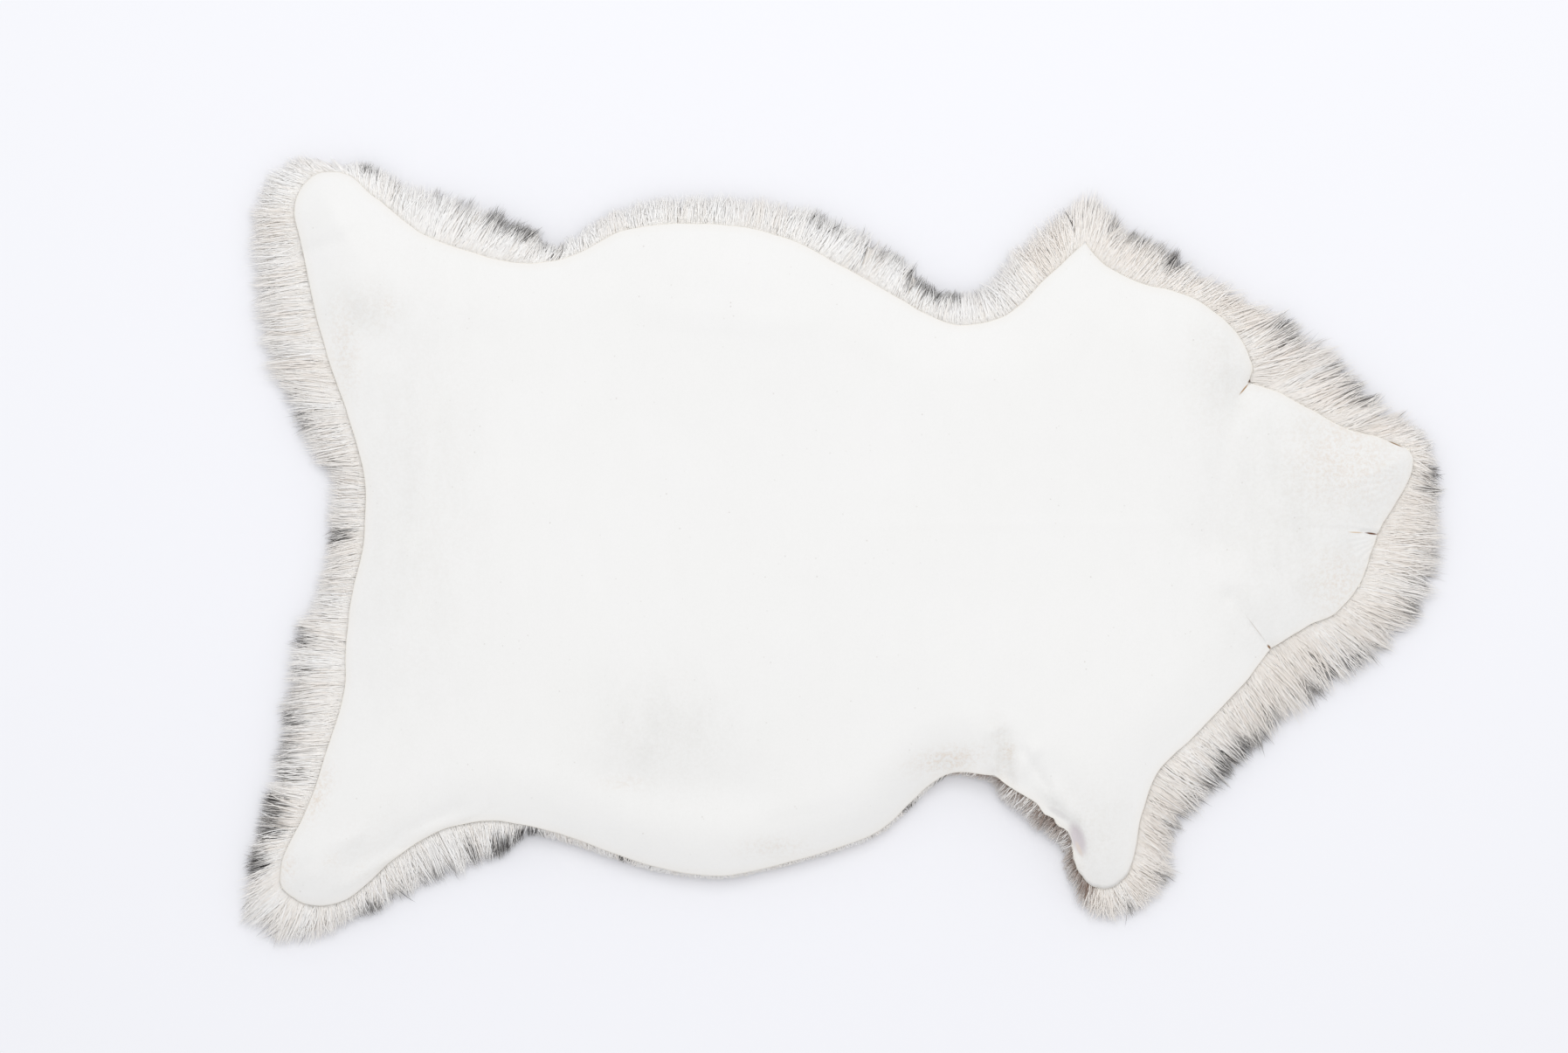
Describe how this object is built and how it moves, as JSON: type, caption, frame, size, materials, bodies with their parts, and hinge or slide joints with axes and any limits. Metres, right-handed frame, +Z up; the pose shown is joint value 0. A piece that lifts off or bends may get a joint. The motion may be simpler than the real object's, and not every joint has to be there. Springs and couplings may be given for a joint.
{
  "type": "sheepskin rug",
  "caption": "Natural sheepskin rug in the outline of the pelt, laid wool side down, its pale suede skin side up with long wool spreading past the cut edge.",
  "frame": {"origin": "on the floor under the middle of the rug's bounding box", "axes": "+X along the rug from the rump to the neck, +Y to the upper side as seen from above, +Z up from the floor through the skin side"},
  "size_m": [1.0662, 0.692, 0.0463],
  "materials": {
    "suede": "tanned skin side, napped, pale ivory",
    "wool": "long undyed fleece with charcoal tips in patches"
  },
  "bodies": {
    "root": {"hide": "suede", "fleece": "wool"}
  },
  "joints": []
}
